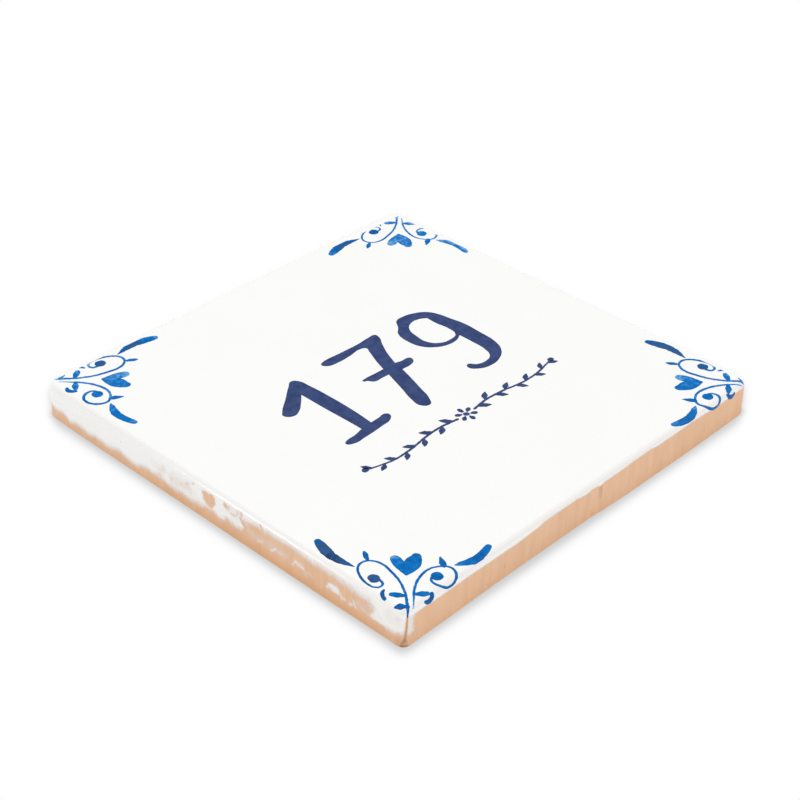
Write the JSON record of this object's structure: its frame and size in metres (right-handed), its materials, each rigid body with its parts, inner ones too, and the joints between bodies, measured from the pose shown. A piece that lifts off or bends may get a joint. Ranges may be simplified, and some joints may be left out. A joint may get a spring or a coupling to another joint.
{
  "type": "house number plaque",
  "caption": "Square glazed earthenware wall tile that carries a painted house number, with leaning sides, a rolled face edge and a keyed back.",
  "frame": {"origin": "centre of the back face, on the surface that the tile lies on", "axes": "+Z out of the glazed face, +X the way the number reads, +Y the number's own up"},
  "size_m": [0.131, 0.131, 0.01],
  "materials": {
    "glazed_clay": "white gloss glaze on the face, bare fired clay on the sides and back",
    "cobalt_paint": "cobalt blue brushwork fired into the glaze"
  },
  "bodies": {
    "root": {"tile": "glazed_clay"}
  },
  "joints": []
}
